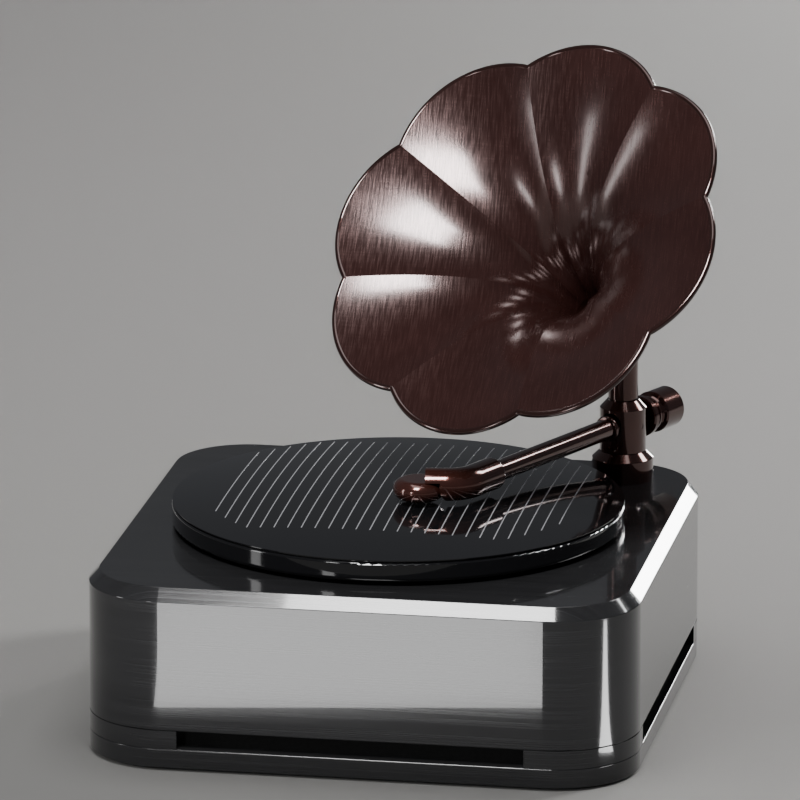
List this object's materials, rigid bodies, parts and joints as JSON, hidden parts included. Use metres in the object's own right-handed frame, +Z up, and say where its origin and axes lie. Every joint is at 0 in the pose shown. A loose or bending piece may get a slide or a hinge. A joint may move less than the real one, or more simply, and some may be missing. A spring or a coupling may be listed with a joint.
{
  "type": "horn record player",
  "caption": "Square black record player with a domed record, balanced tonearm and an eight-petal flower horn on a corner column.",
  "frame": {"origin": "centre of the plinth's underside, on the surface it stands on", "axes": "+X to the right along the front, +Y to the back, +Z up"},
  "size_m": [0.3906, 0.3706, 0.421],
  "materials": {
    "black_lacquer": "mirror gloss",
    "board_lacquer": "mirror gloss",
    "matte_black": "matte",
    "felt": "felt",
    "bright_steel": "satin",
    "circuit_board": "matte",
    "alloy": "satin",
    "moulded_black": "satin",
    "bronze_bush": "satin",
    "belt_rubber": "matte",
    "grey_iron": "satin",
    "copper_coil": "satin",
    "diaphragm_film": "satin",
    "tube_steel": "satin",
    "record_black": "mirror gloss",
    "line_inlay": "polished",
    "dark_bronze": "polished lacquer",
    "horn_bronze": "brushed lacquer",
    "weight_bronze": "polished lacquer",
    "rocker_black": "gloss"
  },
  "bodies": {
    "plinth": {"plinth_shell": "black_lacquer", "corner_spacers": "black_lacquer", "slot_baffles": "matte_black", "bottom_board": "board_lacquer", "base_felt": "felt", "base_screws": "bright_steel", "m3_screws": "bright_steel", "amplifier_board": "circuit_board", "board_posts": "alloy", "capacitors": "moulded_black", "heat_sink": "alloy", "bearing_housing": "bronze_bush", "thrust_ball": "bright_steel", "drive_belt": "belt_rubber", "motor_can": "grey_iron", "motor_plate": "bright_steel", "driver_throat": "alloy", "driver_magnet": "grey_iron", "driver_diaphragm": "diaphragm_film", "driver_cover": "moulded_black", "sound_tube": "tube_steel", "tube_nut": "bright_steel", "column_collar": "dark_bronze", "thrust_washers": "bronze_bush", "power_socket": "matte_black", "socket_pin": "bright_steel", "switch_body": "matte_black"},
    "platter_assembly": {"platter_shaft": "bright_steel", "sub_platter": "alloy", "platter": "black_lacquer", "platter_mat": "belt_rubber", "record": "record_black", "record_lines": "line_inlay"},
    "motor_rotor": {"motor_shaft": "bright_steel", "motor_pulley": "alloy"},
    "arm_swivel": {"arm_housing": "dark_bronze", "housing_cap": "dark_bronze", "swivel_bushes": "bronze_bush", "pivot_pins": "bright_steel"},
    "tonearm": {"gimbal_ring": "alloy", "tonearm_tube": "dark_bronze", "tube_ferrule": "dark_bronze", "counterweight_stub": "bright_steel", "headshell": "dark_bronze", "mounting_post": "alloy", "soundbox_cover": "dark_bronze", "soundbox_base": "dark_bronze", "pickup_coil": "copper_coil", "needle_holder": "alloy", "stylus": "bright_steel"},
    "balance_weight": {"counterweight": "weight_bronze"},
    "horn": {"horn_petals": "horn_bronze", "rim_bead": "dark_bronze", "horn_pipe": "dark_bronze", "horn_elbow": "dark_bronze", "horn_neck": "dark_bronze", "horn_ferrule": "dark_bronze"},
    "power_rocker": {"switch_rocker": "rocker_black"}
  },
  "joints": [
    {"name": "platter_spin", "type": "hinge", "parent": "plinth", "child": "platter_assembly", "pos_m": [0, 0, 0.12], "axis": [0, 0, 1], "continuous": true},
    {"name": "motor_spin", "type": "hinge", "parent": "plinth", "child": "motor_rotor", "pos_m": [-0.064, -0.03, 0.12], "axis": [0, 0, 1], "continuous": true},
    {"name": "arm_swing", "type": "hinge", "parent": "plinth", "child": "arm_swivel", "pos_m": [0.1277, 0.1363, 0.1582], "axis": [0, 0, 1], "range_deg": [0, 44]},
    {"name": "arm_lift", "type": "hinge", "parent": "arm_swivel", "child": "tonearm", "pos_m": [0.1277, 0.1363, 0.1582], "axis": [-0.9033, 0.4289, 0], "range_deg": [0, 7]},
    {"name": "weight_slide", "type": "slide", "parent": "tonearm", "child": "balance_weight", "axis": [0.4289, 0.9033, 0], "range_m": [-0.001, 0.006]},
    {"name": "horn_swing", "type": "hinge", "parent": "plinth", "child": "horn", "pos_m": [0.1277, 0.1363, 0.2], "axis": [0, 0, 1], "range_deg": [-20, 20]},
    {"name": "rocker_tilt", "type": "hinge", "parent": "plinth", "child": "power_rocker", "pos_m": [-0.11, 0.1784, 0.0526], "axis": [1, 0, 0], "range_deg": [0, 18]}
  ],
  "couplings": [
    {"joint": "motor_spin", "follows": "platter_spin", "ratio": 10}
  ]
}
